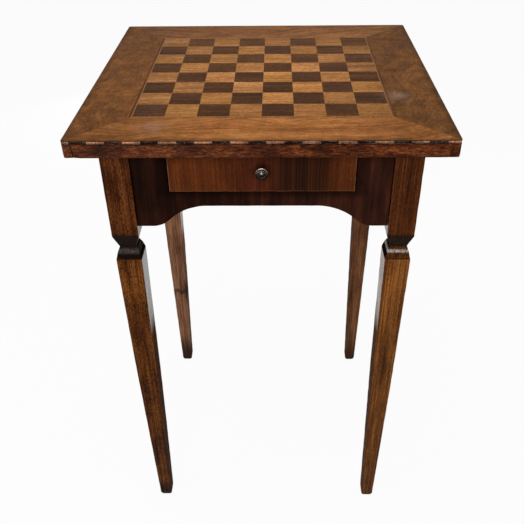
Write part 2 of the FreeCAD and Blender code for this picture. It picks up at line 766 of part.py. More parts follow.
def make_drawer_front():
    """The drawer front, with an eased arris, lapped sockets, a groove and a hole for the knob."""
    outline = symmetric([Corner(DRAWER_HALF, DRAWER_LOW), Corner(DRAWER_HALF, DRAWER_HIGH)], ZERO)
    board = prism("drawer_front_board", "XZ", outline, (DRAWER_FACE, FRONT_SHOULDER))
    DOC.recompute()
    pad = board.Tip
    face = pad.Shape.BoundBox.YMin
    names = [f"Edge{number}" for number, edge in enumerate(pad.Shape.Edges, start=1)
             if edge.BoundBox.YMax - face < DIM.drawer_arris.value / 2]
    arris = board.newObject("PartDesign::Chamfer", "drawer_front_arris")
    arris.Base = (pad, names)
    arris.setExpression("Size", DIM.drawer_arris.text)
    board.Tip = arris
    groove = block("drawer_front_groove", (-SIDE_IN, SIDE_IN),
                   (FRONT_SHOULDER - DIM.groove_depth, FRONT_SHOULDER + DIM.overrun),
                   (BOTTOM_LOW, BOTTOM_HIGH))
    hole = DOC.addObject("Part::Cylinder", "knob_hole")
    hole.setExpression("Radius", (DIM.knob_screw_radius + DIM.hole_clearance).text)
    hole.setExpression("Height", (DIM.drawer_front_thickness + DIM.overrun * 2).text)
    face_front(hole)
    place(hole, ZERO, FRONT_SHOULDER + DIM.overrun, KNOB_HEIGHT)
    tools = sockets("front_socket", front_tails()) + [groove, hole]
    keep(cut("drawer_front_worked", board, tools), "drawer_front")


def make_drawer_sides():
    """Drawer sides with dovetails at both ends and a groove for the bottom."""
    outline = [Corner(FRONT_SHOULDER, SIDE_HIGH)]
    for tail in reversed(front_tails()):
        outline += reversed(tail)
    outline += [Corner(FRONT_SHOULDER, DRAWER_LOW), Corner(DRAWER_REAR, DRAWER_LOW),
                Corner(DRAWER_REAR, BOTTOM_HIGH), Corner(BACK_SHOULDER, BOTTOM_HIGH)]
    for tail in back_tails():
        outline += tail
    outline += [Corner(BACK_SHOULDER, BACK_HIGH), Corner(DRAWER_REAR, BACK_HIGH),
                Corner(DRAWER_REAR, SIDE_HIGH)]
    for name, sign in SIDES_X:
        label = f"drawer_side_{name}"
        board = prism(f"{label}_board", "YZ", outline, mirrored((SIDE_IN, DRAWER_HALF), sign))
        groove = block(f"{label}_groove",
                       mirrored((SIDE_IN - DIM.overrun, SIDE_IN + DIM.groove_depth), sign),
                       (DRAWER_FACE, DRAWER_REAR + DIM.overrun), (BOTTOM_LOW, BOTTOM_HIGH))
        keep(cut(f"{label}_grooved", board, [groove]), label)


def square_block(name, x, y, side, z):
    """A square piece of one side, about a middle, between two heights."""
    half = side / 2
    return block(name, (x - half, x + half), (y - half, y + half), z)


def make_drawer_back_and_bottom():
    """The back over the bottom, the bottom in its grooves, and the cut nails that hold the two."""
    nail_y = (BACK_SHOULDER + DRAWER_REAR) / 2
    nails = []
    shanks = []
    for share in NAIL_PLACE_SHARES:
        nail_x = SIDE_IN * share
        shank = square_block("nail_shank", nail_x, nail_y, DIM.nail_side,
                             (BOTTOM_LOW, BOTTOM_LOW + DIM.nail_length))
        head = square_block("nail_head", nail_x, nail_y, DIM.nail_head_side,
                            (BOTTOM_LOW - DIM.nail_head_height, BOTTOM_LOW))
        nails.append(fuse("bottom_nail", [shank, head]))
        shanks.append(shank)
    keep(group("nail_set", nails), "bottom_nails")

    back = block("drawer_back_board", (-DRAWER_HALF, DRAWER_HALF), (BACK_SHOULDER, DRAWER_REAR),
                 (BOTTOM_HIGH, BACK_HIGH))
    keep(cut("drawer_back_worked", back, sockets("back_socket", back_tails()) + shanks),
         "drawer_back")
    reach = SIDE_IN + DIM.groove_depth
    panel = block("drawer_bottom_panel", (-reach, reach),
                  (FRONT_SHOULDER - DIM.groove_depth, DRAWER_REAR), (BOTTOM_LOW, BOTTOM_HIGH))
    keep(cut("drawer_bottom_nailed", panel, shanks), "drawer_bottom")


def make_knob():
    """A turned knob: a waisted stem, a bevelled rim, a raised ring and a domed middle."""
    bore = DIM.knob_screw_radius + DIM.hole_clearance
    bevel = DIM.knob_bevel
    rim = DIM.knob_rim_radius
    face = DIM.knob_rim_height + DIM.knob_rim_thickness
    ring = DIM.knob_ring_radius
    ring_in = ring - DIM.knob_ring_width
    ring_high = face + DIM.knob_ring_rise
    dome = DIM.knob_dome_radius
    dome_low = face + DIM.knob_ring_rise / 2
    dome_curve = (dome * dome / DIM.knob_dome_rise + DIM.knob_dome_rise) / 2
    outline = [Corner(bore, ZERO),
               Corner(DIM.knob_foot_radius, ZERO),
               Corner(DIM.knob_foot_radius, DIM.knob_foot_height),
               Corner(DIM.knob_neck_radius, DIM.knob_neck_height),
               Corner(rim - bevel, DIM.knob_rim_height),
               Corner(rim, DIM.knob_rim_height + bevel),
               Corner(rim, face - bevel),
               Corner(rim - bevel, face),
               Corner(ring, face),
               Corner(ring, ring_high - bevel),
               Corner(ring - bevel, ring_high),
               Corner(ring_in + bevel, ring_high),
               Corner(ring_in, ring_high - bevel),
               Corner(ring_in, dome_low),
               Corner(dome, dome_low, dome_curve),
               Corner(ZERO, dome_low + DIM.knob_dome_rise),
               Corner(ZERO, DIM.knob_bore_depth),
               Corner(bore, DIM.knob_bore_depth)]
    knob = turned("knob_turning", outline)
    face_front(knob)
    place(knob, ZERO, DRAWER_FACE, KNOB_HEIGHT)
    keep(knob, "knob")


def make_knob_screw():
    """The screw through the drawer front into the knob, its slotted head inside the drawer."""
    head = DIM.knob_screw_head_height
    length = head + DIM.drawer_front_thickness + DIM.knob_screw_grip
    outline = [Corner(ZERO, ZERO),
               Corner(DIM.knob_screw_head_radius, ZERO),
               Corner(DIM.knob_screw_head_radius, head),
               Corner(DIM.knob_screw_radius, head),
               Corner(DIM.knob_screw_radius, length),
               Corner(ZERO, length)]
    blank = turned("knob_screw_blank", outline)
    slot_reach = DIM.knob_screw_head_radius + DIM.overrun
    half_slot = DIM.slot_width / 2
    face_front(blank)
    place(blank, ZERO, FRONT_SHOULDER + head, KNOB_HEIGHT)
    slot = block("knob_screw_slot", (-slot_reach, slot_reach),
                 (FRONT_SHOULDER + head - DIM.slot_depth, FRONT_SHOULDER + head + DIM.overrun),
                 (KNOB_HEIGHT - half_slot, KNOB_HEIGHT + half_slot))
    keep(cut("knob_screw_slotted", blank, [slot]), "knob_screw")


def check():
    """Stop if anything failed, or if a cut took nothing away."""
    for item in DOC.Objects:
        if "Invalid" in item.State or "Error" in item.State:
            raise RuntimeError(f"{item.Label} failed: {item.State}")
    for result, base in CUTS:
        if result.Shape.Volume >= base.Shape.Volume:
            raise RuntimeError(f"{result.Label} cut nothing")
    for piece in NODES:
        if piece.Shape.isNull() or not piece.Shape.isValid():
            raise RuntimeError(f"{piece.Label} has no valid shape")


SCREW_HOLES = make_screw_holes()
make_core()
make_lippings()
make_borders()
make_board()
make_chequer()
make_legs()
make_long_aprons()
make_side_aprons()
make_corner_blocks()
make_top_screws()
make_runners()
make_drawer_front()
make_drawer_sides()
make_drawer_back_and_bottom()
make_knob()
make_knob_screw()
DOC.recompute()
check()
os.makedirs("parts", exist_ok=True)
for node in NODES:
    node.Shape.exportStep(f"parts/{node.Label}.step")
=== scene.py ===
import json
import math
from collections import namedtuple

import bmesh
import bpy
from mathutils import Matrix, Vector, noise


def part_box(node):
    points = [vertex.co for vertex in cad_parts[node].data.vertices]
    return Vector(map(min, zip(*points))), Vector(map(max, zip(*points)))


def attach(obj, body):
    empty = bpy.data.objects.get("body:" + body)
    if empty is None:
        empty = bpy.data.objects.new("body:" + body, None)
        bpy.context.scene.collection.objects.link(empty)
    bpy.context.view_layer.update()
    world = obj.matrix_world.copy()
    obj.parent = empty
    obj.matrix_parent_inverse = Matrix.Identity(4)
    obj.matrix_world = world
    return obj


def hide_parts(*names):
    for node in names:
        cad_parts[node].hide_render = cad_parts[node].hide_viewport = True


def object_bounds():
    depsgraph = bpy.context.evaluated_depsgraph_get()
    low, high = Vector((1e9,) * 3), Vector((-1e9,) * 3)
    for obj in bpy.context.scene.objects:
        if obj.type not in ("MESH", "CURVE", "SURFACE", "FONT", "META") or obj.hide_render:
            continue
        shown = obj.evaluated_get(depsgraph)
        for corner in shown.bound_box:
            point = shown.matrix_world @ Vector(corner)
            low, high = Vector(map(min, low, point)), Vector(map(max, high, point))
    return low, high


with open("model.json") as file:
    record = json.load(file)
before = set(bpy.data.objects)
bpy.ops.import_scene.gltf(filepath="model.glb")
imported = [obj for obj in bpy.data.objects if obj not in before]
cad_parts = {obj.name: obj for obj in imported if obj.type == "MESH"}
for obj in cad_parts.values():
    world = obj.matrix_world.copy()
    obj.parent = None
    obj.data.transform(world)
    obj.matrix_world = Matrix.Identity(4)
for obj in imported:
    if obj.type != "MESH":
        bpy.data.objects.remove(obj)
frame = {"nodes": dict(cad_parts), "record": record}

CAD_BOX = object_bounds()
NODES = frame["nodes"]
SLOTS = {row["node"]: row["material_slot"] for row in frame["record"]["subparts"]}
BODIES = frame["record"]["behaviour"]["bodies"]
BODY_OF = {node: body for body, nodes in BODIES.items() for node in nodes}

MM = 0.001
X, Y, Z = Vector((1, 0, 0)), Vector((0, 1, 0)), Vector((0, 0, 1))

# Places on the table, in metres.
SQUARE = 41.5 * MM
BOARD_HALF = 4 * SQUARE
LINE_WIDTH = 4 * MM
LINE_MIDDLE = BOARD_HALF + LINE_WIDTH / 2
CHEQUER_PITCH = 21.6 * MM
CHEQUER_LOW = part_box("edge_chequer_dark")[0].z
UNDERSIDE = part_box("lipping_front")[0].z
EDGE = CAD_BOX[1].x
PALE_MIDDLE = (2 * MM, -10 * MM)
KNOT = (-175 * MM, 175 * MM, 202 * MM)
NECK_LOW = 541.5 * MM
RIDGE = 553.4 * MM
NECK_MIDDLE = 559.5 * MM
NECK_HIGH = 579.5 * MM

# Spots of painted glare, a whitish reflection on the varnish of the top: x, y, radius and strength.
GLARE_SPOTS = ((-146 * MM, -147 * MM, 30 * MM, 0.03), (-137 * MM, -199 * MM, 34 * MM, 0.16),
        (181 * MM, -98 * MM, 30 * MM, 0.18))

# Gloss of a leg: its outer faces, and steps down its inner faces from the part that is still polished
# to the dull part. The last step is for the sides of the neck.
OUTER_GLOSS = 0.03
POLISH = (0.6, 0.42, 0.3, 0.2, 0.12, 0.06, 0.025, 0.008, 0.002, 0.0002, 0.0)
POLISH_STEP = 7 * MM

# Limits for work on meshes.
WELD = 0.002 * MM
ON_PLANE = 0.001 * MM
FLAT = math.radians(0.4)
ARRIS = math.radians(18)
SHARP = math.radians(40)


def srgb(red, green, blue):
    """A colour written as it looks on a screen, from 0 to 255, as linear light."""
    def linear(level):
        level /= 255
        return level / 12.92 if level <= 0.04045 else ((level + 0.055) / 1.055) ** 2.4
    return (linear(red), linear(green), linear(blue), 1.0)


def dimmed(colour, level):
    """A colour with less light."""
    return tuple(level * part for part in colour[:3]) + (1.0,)


# rubbed holds the share and reach of the painted highlight on the flare's ridge.
LegLook = namedtuple("LegLook", "tones shift weights fade foot block_tint neck_low rubbed "
                                "polish_low knot")


class Shader:
    """One procedural material, with short ways to add its nodes."""

    def __init__(self, name):
        self.material = bpy.data.materials.new(name)
        self.material.use_nodes = True
        self.tree = self.material.node_tree
        self.tree.nodes.clear()
        self.surface = self.add("ShaderNodeBsdfPrincipled")
        output = self.add("ShaderNodeOutputMaterial")
        self.join(self.surface.outputs["BSDF"], output.inputs["Surface"])
        self.place = self.still = self.add("ShaderNodeTexCoord").outputs["Object"]

    def add(self, kind, **settings):
        node = self.tree.nodes.new(kind)
        for key, value in settings.items():
            setattr(node, key, value)
        return node

    def join(self, source, target):
        self.tree.links.new(source, target)

    def feed(self, target, value):
        """Link a socket, or set a number, vector or colour."""
        if isinstance(value, bpy.types.NodeSocket):
            self.join(value, target)
        else:
            target.default_value = value

    def math(self, operation, *values):
        node = self.add("ShaderNodeMath", operation=operation)
        for socket, value in zip(node.inputs, values):
            self.feed(socket, value)
        return node.outputs[0]

    def vector(self, operation, first, second=(0.0, 0.0, 0.0)):
        node = self.add("ShaderNodeVectorMath", operation=operation)
        self.feed(node.inputs[0], first)
        self.feed(node.inputs[1], second)
        scalar = operation in ("LENGTH", "DOT_PRODUCT")
        return node.outputs["Value" if scalar else "Vector"]

    def split(self, vector):
        node = self.add("ShaderNodeSeparateXYZ")
        self.join(vector, node.inputs[0])
        return [node.outputs[axis] for axis in "XYZ"]

    def gather(self, x, y, z):
        node = self.add("ShaderNodeCombineXYZ")
        for socket, value in zip(node.inputs, (x, y, z)):
            self.feed(socket, value)
        return node.outputs[0]

    def cell(self, x, y, size):
        """Whole numbers that count the cells of a square grid."""
        column, row = [self.math("FLOOR", self.math("DIVIDE", value, size)) for value in (x, y)]
        return self.gather(column, row, 0.0)

    def noise(self, vector, scale=1.0, detail=3.0, roughness=0.55, distortion=0.0, output="Fac"):
        node = self.add("ShaderNodeTexNoise")
        self.join(vector, node.inputs["Vector"])
        node.inputs["Scale"].default_value = scale
        node.inputs["Detail"].default_value = detail
        node.inputs["Roughness"].default_value = roughness
        node.inputs["Distortion"].default_value = distortion
        return node.outputs[output]

    def chance(self, vector):
        """Random numbers from 0 to 1 for each cell of a vector of whole numbers."""
        node = self.add("ShaderNodeTexWhiteNoise", noise_dimensions="3D")
        self.join(vector, node.inputs["Vector"])
        return self.split(node.outputs["Color"])

    def span(self, value, low, high, start=0.0, end=1.0):
        """A value carried from one span to another, smoothly and without going past its ends."""
        node = self.add("ShaderNodeMapRange", interpolation_type="SMOOTHSTEP")
        self.feed(node.inputs["Value"], value)
        for key, number in zip(("From Min", "From Max", "To Min", "To Max"), (low, high, start, end)):
            node.inputs[key].default_value = number
        return node.outputs["Result"]

    def spread(self, value, start=0.0, end=1.0):
        """Noise, which mostly lies near its middle, spread over a span."""
        return self.span(value, 0.3, 0.7, start, end)

    def ramp(self, value, stops):
        """A colour for a value, between stops of a position and a colour."""
        node = self.add("ShaderNodeValToRGB")
        elements = node.color_ramp.elements
        while len(elements) < len(stops):
            elements.new(0.5)
        for element, (position, colour) in zip(elements, stops):
            element.position = position
            element.color = colour
        self.join(value, node.inputs[0])
        return node.outputs["Color"]

    def mix(self, share, first, second):
        node = self.add("ShaderNodeMix", data_type="RGBA")
        self.feed(node.inputs["Factor"], share)
        self.feed(node.inputs[6], first)
        self.feed(node.inputs[7], second)
        return node.outputs[2]

    def shade(self, colour, level):
        """A colour times a level."""
        return self.vector("MULTIPLY", colour, self.gather(level, level, level))

    def vary(self, colour, value, low, high, by):
        """A colour made darker to paler by a share, while a value goes from low to high."""
        return self.shade(colour, self.span(value, low, high, 1.0 - by, 1.0 + by))

    def darken(self, colour, share, by):
        """A colour made darker where a share is one."""
        return self.shade(colour, self.math("MULTIPLY_ADD", share, -by, 1.0))

    def edges(self, reach):
        """How near a point is to an edge, from 0 to 1."""
        soft = self.add("ShaderNodeBevel", samples=6)
        soft.inputs["Radius"].default_value = reach
        true = self.add("ShaderNodeNewGeometry").outputs["Normal"]
        return self.span(self.vector("DOT_PRODUCT", soft.outputs["Normal"], true), 0.99, 0.86)

    def shelter(self, reach):
        """How open a point lies, from 0 in a corner to 1 on a free face."""
        node = self.add("ShaderNodeAmbientOcclusion", samples=6)
        node.inputs["Distance"].default_value = reach
        return node.outputs["AO"]

    def bump(self, height, depth, strength=1.0):
        node = self.add("ShaderNodeBump")
        node.inputs["Strength"].default_value = strength
        node.inputs["Distance"].default_value = depth
        self.join(height, node.inputs["Height"])
        self.join(node.outputs["Normal"], self.surface.inputs["Normal"])

    def spot(self, middle, radius, axes="XY"):
        """One at a spot of the piece, fading to zero at a radius round it."""
        sockets = dict(zip("XYZ", self.split(self.still)))
        squares = [self.math("POWER", self.math("SUBTRACT", sockets[axis], place), 2.0)
                   for axis, place in zip(axes, middle)]
        distance = self.math("SQRT", self.math("ADD", *squares))
        return self.span(distance, radius, 0.0)

    def finish(self, colour, roughness, **constants):
        self.feed(self.surface.inputs["Base Color"], colour)
        self.feed(self.surface.inputs["Roughness"], roughness)
        for key, value in constants.items():
            self.surface.inputs[key.replace("_", " ")].default_value = value
        return self.material


class Grain:
    """The figure of a board along one axis: rings, streaks, speckle and mottling, each from 0 to 1."""

    AXES = {"X": (0, 1, 2), "Y": (1, 0, 2), "Z": (2, 0, 1)}

    def __init__(self, shader, axis, shift=(0.0, 0.0, 0.0), pith=(0.4, 0.3), pitch=6 * MM, warp=8 * MM):
        self.shader = s = shader
        spots = s.split(s.vector("ADD", s.place, shift))
        self.line = s.gather(*[spots[number] for number in self.AXES[axis]])
        bend = s.noise(self.stretched(2.5, 14.0), detail=2.0, output="Color")
        bend = s.vector("SUBTRACT", bend, (0.5, 0.5, 0.5))
        sideways = s.vector("MULTIPLY", bend, (0.0, 2 * warp, 2 * warp))
        _, deep, wide = s.split(s.vector("ADD", self.line, sideways))
        radius = s.vector("LENGTH", s.gather(0.0, s.math("SUBTRACT", deep, pith[0]),
                                             s.math("SUBTRACT", wide, pith[1])))
        uneven = s.noise(self.stretched(0.5, 45.0), detail=2.0)
        turn = s.math("FRACT", s.math("MULTIPLY_ADD", uneven, 2.2, s.math("DIVIDE", radius, pitch)))
        self.rings = s.math("MULTIPLY", s.span(turn, 0.0, 0.12), s.span(turn, 0.98, 0.45))
        self.broad = self.layer(2.0, 75.0, 3.0)
        self.fine = self.layer(7.0, 380.0, 3.0)
        self.speckle = self.layer(210.0, 1250.0, 1.0)
        self.mottle = self.layer(17.0, 48.0, 4.0)

    def stretched(self, along, across):
        return self.shader.vector("MULTIPLY", self.line, (along, across, across))

    def layer(self, along, across, detail):
        value = self.shader.noise(self.stretched(along, across), detail=detail)
        return self.shader.spread(value)

    def value(self, rings=0.2, broad=0.35, fine=0.25, speckle=0.15, mottle=0.3):
        """All layers added up, with 0.5 in the middle."""
        s = self.shader
        layers = ((self.rings, rings), (self.broad, broad), (self.fine, fine),
                  (self.speckle, speckle), (self.mottle, mottle))
        total = 0.5 - sum(weight for _, weight in layers) / 2
        for layer, weight in layers:
            total = s.math("MULTIPLY_ADD", layer, weight, total)
        return total

    def colour(self, tones, **weights):
        """Wood from its darkest to its palest tone, by the value of its layers."""
        steps = (0.08, 0.36, 0.62, 0.92)
        return self.shader.ramp(self.value(**weights), tuple(zip(steps, tones)))

    def relief(self):
        s = self.shader
        return s.math("MULTIPLY_ADD", self.speckle, 0.4, s.math("MULTIPLY", self.fine, 0.6))


def shade_under_top(s, colour, reach, level):
    """Colour darkened just below the table top, as painted shade from its overhang."""
    _, _, height = s.split(s.still)
    return s.shade(colour, s.span(height, UNDERSIDE - reach, UNDERSIDE - 1 * MM, 1.0, level))


def varnished(s, colour, grain, roughness=0.42, specular=0.1, worn=None, wear=0.5, dirt_and_shade=0.5,
              dirt_and_shade_reach=12 * MM, edge_reach=1.6 * MM, depth=0.1 * MM):
    """Old varnish over wood: dirt and painted shade in the corners, bare paler wood on the edges, uneven
    gloss.
    """
    # Dirt and painted shade darken corners and recesses, where the ambient occlusion is low.
    if dirt_and_shade:
        colour = s.shade(colour, s.span(s.shelter(dirt_and_shade_reach), 0.35, 0.95, 1.0 - dirt_and_shade, 1.0))
    if worn is not None:
        scuffs = s.span(s.noise(s.place, scale=140.0, detail=4.0, roughness=0.7), 0.42, 0.62)
        bare = s.math("MULTIPLY", s.math("MULTIPLY", s.edges(edge_reach), scuffs), wear)
        colour = s.mix(bare, colour, worn)
    gloss = s.math("MULTIPLY_ADD", grain.mottle, 0.12, roughness - 0.06)
    gloss = s.math("MULTIPLY_ADD", grain.speckle, -0.08, gloss)
    s.bump(grain.relief(), depth)
    return s.finish(colour, gloss, Specular_IOR_Level=specular)


def swept(s, axis, slope, wave):
    """Bend a board's figure, so that its grain runs a little aslant and in slow waves."""
    x, y, _ = s.split(s.place)
    along = x if axis == "X" else y
    sway = s.noise(s.place, scale=7.0, detail=1.0)
    shift = s.math("MULTIPLY_ADD", sway, wave, s.math("MULTIPLY", along, slope))
    move = s.gather(0.0, shift, 0.0) if axis == "X" else s.gather(shift, 0.0, 0.0)
    s.place = s.vector("ADD", s.place, move)


def painted_glare(s, colour):
    """Painted glare: a whitish reflection on the varnish of the top, in a few spots."""
    glare_white = srgb(176, 168, 164)
    patchy = s.span(s.noise(s.still, scale=90.0, detail=3.0), 0.25, 0.65)
    # Each spot mixes in the painted glare, a reflection, by its strength.
    for x, y, radius, strength in GLARE_SPOTS:
        share = s.math("MULTIPLY", s.spot((x, y), radius), s.math("MULTIPLY", patchy, strength))
        colour = s.mix(share, colour, glare_white)
    return colour


def border_wood(name, axis, tones, shift, pith, ends, tilt, blotch, **weights):
    """Border veneers: dry and a little worn, with darker ends and a painted shadow line along the rim."""
    s = Shader(name)
    swept(s, axis, -0.12, 110 * MM)
    grain = Grain(s, axis, shift, pith, pitch=8 * MM, warp=12 * MM)
    colour = painted_glare(s, grain.colour(tones, **weights))
    flecks = s.noise(grain.stretched(130.0, 330.0), detail=3.0, roughness=0.7)
    colour = s.shade(colour, s.spread(flecks, 0.8, 1.2))
    x, y, _ = s.split(s.still)
    along = x if axis == "X" else y
    colour = s.vary(colour, along, -EDGE, EDGE, tilt)
    along = s.math("MULTIPLY_ADD", grain.mottle, 40 * MM, s.math("ABSOLUTE", along))
    colour = s.shade(colour, s.span(along, 60 * MM, 230 * MM, 1.06, ends))
    cloud = s.noise(s.still, scale=48.0, detail=6.0, roughness=0.68)
    colour = s.vary(colour, cloud, 0.32, 0.68, blotch)
    rim = s.math("MAXIMUM", s.math("ABSOLUTE", x), s.math("ABSOLUTE", y))
    worn_rim = s.math("MULTIPLY_ADD", s.noise(s.still, scale=34.0, detail=4.0), 14 * MM, rim)
    colour = s.shade(colour, s.span(worn_rim, EDGE - 5 * MM, EDGE + 9 * MM, 1.0, 0.6))
    # A painted shadow line along the rim of the top and on the veneer's thin edge.
    colour = s.shade(colour, s.span(rim, EDGE - 1.0 * MM, EDGE - 0.2 * MM, 1.0, 0.4))
    return varnished(s, colour, grain, roughness=0.5, specular=0.008, worn=srgb(96, 62, 40), wear=0.55,
                     dirt_and_shade=0.0, edge_reach=1.0 * MM, depth=0.05 * MM)


def edge_wood(name, axis):
    """Edge strips: figured wood with short wavy flecks, and painted shade along the lower edge."""
    s = Shader(name)
    grain = Grain(s, axis, pitch=5 * MM, warp=14 * MM)
    curl = s.noise(grain.stretched(105.0, 380.0), detail=5.0, roughness=0.68, distortion=0.8)
    flame = s.noise(grain.stretched(16.0, 40.0), detail=4.0, roughness=0.6)
    value = s.math("MULTIPLY_ADD", s.spread(curl), 0.62, s.span(flame, 0.32, 0.68, -0.2, 0.2))
    value = s.math("MULTIPLY_ADD", grain.speckle, 0.14, value)
    colour = s.ramp(value, ((0.05, srgb(34, 15, 10)), (0.32, srgb(66, 31, 17)), (0.58, srgb(98, 50, 25)),
                            (0.9, srgb(142, 84, 46))))
    x, _, height = s.split(s.still)
    greyed = s.span(x, 120 * MM, -160 * MM, 0.02, 0.09)
    colour = s.mix(greyed, colour, srgb(92, 74, 68))
    colour = s.shade(colour, s.span(height, CHEQUER_LOW - 2.2 * MM, CHEQUER_LOW - 0.6 * MM, 1.0, 0.4))
    # Painted shade along the lower edge of the strip.
    colour = s.shade(colour, s.span(height, UNDERSIDE + 0.4 * MM, UNDERSIDE + 4.5 * MM, 0.55, 1.0))
    return varnished(s, colour, grain, roughness=0.42, specular=0.012, worn=srgb(150, 96, 58), wear=0.3,
                     dirt_and_shade=0.4, depth=0.2 * MM)


def square_wood(name, tones, variety, middle_paler, paler_to_back):
    """Board squares: straight grain along X, each a little different, paler round a spot near the middle
    and, where asked, paler towards the back.
    """
    s = Shader(name)
    x, y, _ = s.split(s.place)
    first, second, third = s.chance(s.cell(x, y, SQUARE))
    move = s.gather(s.math("MULTIPLY", first, 3.0), s.math("MULTIPLY", second, 2.0), 0.0)
    s.place = s.vector("ADD", s.place, move)
    grain = Grain(s, "X", pith=(0.5, 0.2), pitch=4 * MM, warp=4 * MM)
    colour = grain.colour(tones, rings=0.1, broad=0.2, fine=0.34, speckle=0.3, mottle=0.3)
    flecks = s.noise(grain.stretched(180.0, 300.0), detail=3.0, roughness=0.75)
    colour = s.shade(colour, s.spread(flecks, 0.74, 1.26))
    colour = s.vary(colour, third, 0.0, 1.0, variety)
    middle_share = s.spot(PALE_MIDDLE, 230 * MM)
    colour = s.shade(colour, s.math("MULTIPLY_ADD", middle_share, 2 * middle_paler, 1.0 - middle_paler))
    colour = s.vary(colour, y, -BOARD_HALF, BOARD_HALF, paler_to_back)
    red, green, blue = s.split(colour)
    warmth = s.span(second, 0.0, 1.0, 1.0 - variety, 1.0 + variety)
    colour = painted_glare(s, s.gather(red, green, s.math("MULTIPLY", blue, warmth)))
    return varnished(s, colour, grain, roughness=0.46, specular=0.008, worn=srgb(176, 138, 92), wear=0.6,
                     dirt_and_shade=0.0, edge_reach=0.6 * MM, depth=0.04 * MM)


def line_wood():
    """Strips round the board: dark reddish wood with a thin pale line on its inner side."""
    s = Shader("line_wood")
    x, y, _ = s.split(s.place)
    ring = s.math("MAXIMUM", s.math("ABSOLUTE", x), s.math("ABSOLUTE", y))
    inner = s.span(s.math("SUBTRACT", ring, LINE_MIDDLE), -0.2 * LINE_WIDTH, -0.3 * LINE_WIDTH)
    side = s.span(s.math("SUBTRACT", s.math("ABSOLUTE", x), s.math("ABSOLUTE", y)), -1 * MM, 1 * MM)
    grain = Grain(s, "Y", pitch=3 * MM, warp=3 * MM)
    dark = grain.colour((srgb(38, 20, 13), srgb(62, 34, 20), srgb(86, 50, 29), srgb(112, 70, 42)))
    brown = grain.colour((srgb(92, 54, 28), srgb(124, 76, 40), srgb(142, 90, 50), srgb(158, 104, 60)))
    colour = s.mix(side, brown, dark)
    colour = s.mix(s.math("MULTIPLY", inner, 0.7), colour, srgb(160, 116, 74))
    return varnished(s, colour, grain, roughness=0.48, specular=0.008, dirt_and_shade=0.0, depth=0.05 * MM)


def chequer_wood(name, tones, worn, wear):
    """Short pieces under the rim, each a little different, chipped on top and darker at the foot."""
    s = Shader(name)
    x, y, z = s.split(s.place)
    first, _, _ = s.chance(s.cell(x, y, CHEQUER_PITCH))
    grain = Grain(s, "Z", pitch=3 * MM, warp=4 * MM)
    colour = s.shade(grain.colour(tones), s.span(first, 0.0, 1.0, 0.6, 1.2))
    smudge = s.noise(s.vector("MULTIPLY", s.place, (14.0, 14.0, 0.0)), detail=3.0)
    colour = s.shade(colour, s.span(smudge, 0.36, 0.62, 0.4, 1.05))
    flecks = s.span(s.noise(s.place, scale=380.0, detail=2.0), 0.66, 0.71)
    colour = s.mix(s.math("MULTIPLY", flecks, wear), colour, worn)
    foot = s.span(z, CHEQUER_LOW + 0.4 * MM, CHEQUER_LOW + 2.0 * MM, 0.3, 1.0)
    return varnished(s, s.shade(colour, foot), grain, roughness=0.42, specular=0.03, worn=worn, wear=wear,
                     dirt_and_shade=0.3)


def knotted(s, colour, knot):
    """A knot at an arris: a dark core, a ragged band across the grain and a streak along the arris."""
    across, deep, height = s.split(s.vector("SUBTRACT", s.still, knot))
    near = s.span(s.vector("LENGTH", s.gather(across, deep, 0.0)), 34 * MM, 20 * MM)
    off = s.math("ABSOLUTE", height)
    ragged = s.noise(s.still, scale=130.0, detail=3.0)
    band = s.span(s.math("MULTIPLY_ADD", ragged, 20 * MM, off), 20 * MM, 12 * MM, 0.0, 0.65)
    beside = s.span(across, -5 * MM, -1 * MM)
    streak = s.math("MULTIPLY", beside, s.span(off, 42 * MM, 6 * MM, 0.0, 0.85))
    core = s.span(s.vector("LENGTH", s.gather(across, 0.0, height)), 11 * MM, 0.0, 0.0, 0.92)
    dark = s.math("MAXIMUM", core, s.math("MAXIMUM", band, streak))
    return s.darken(colour, s.math("MULTIPLY", dark, near), 1.0)


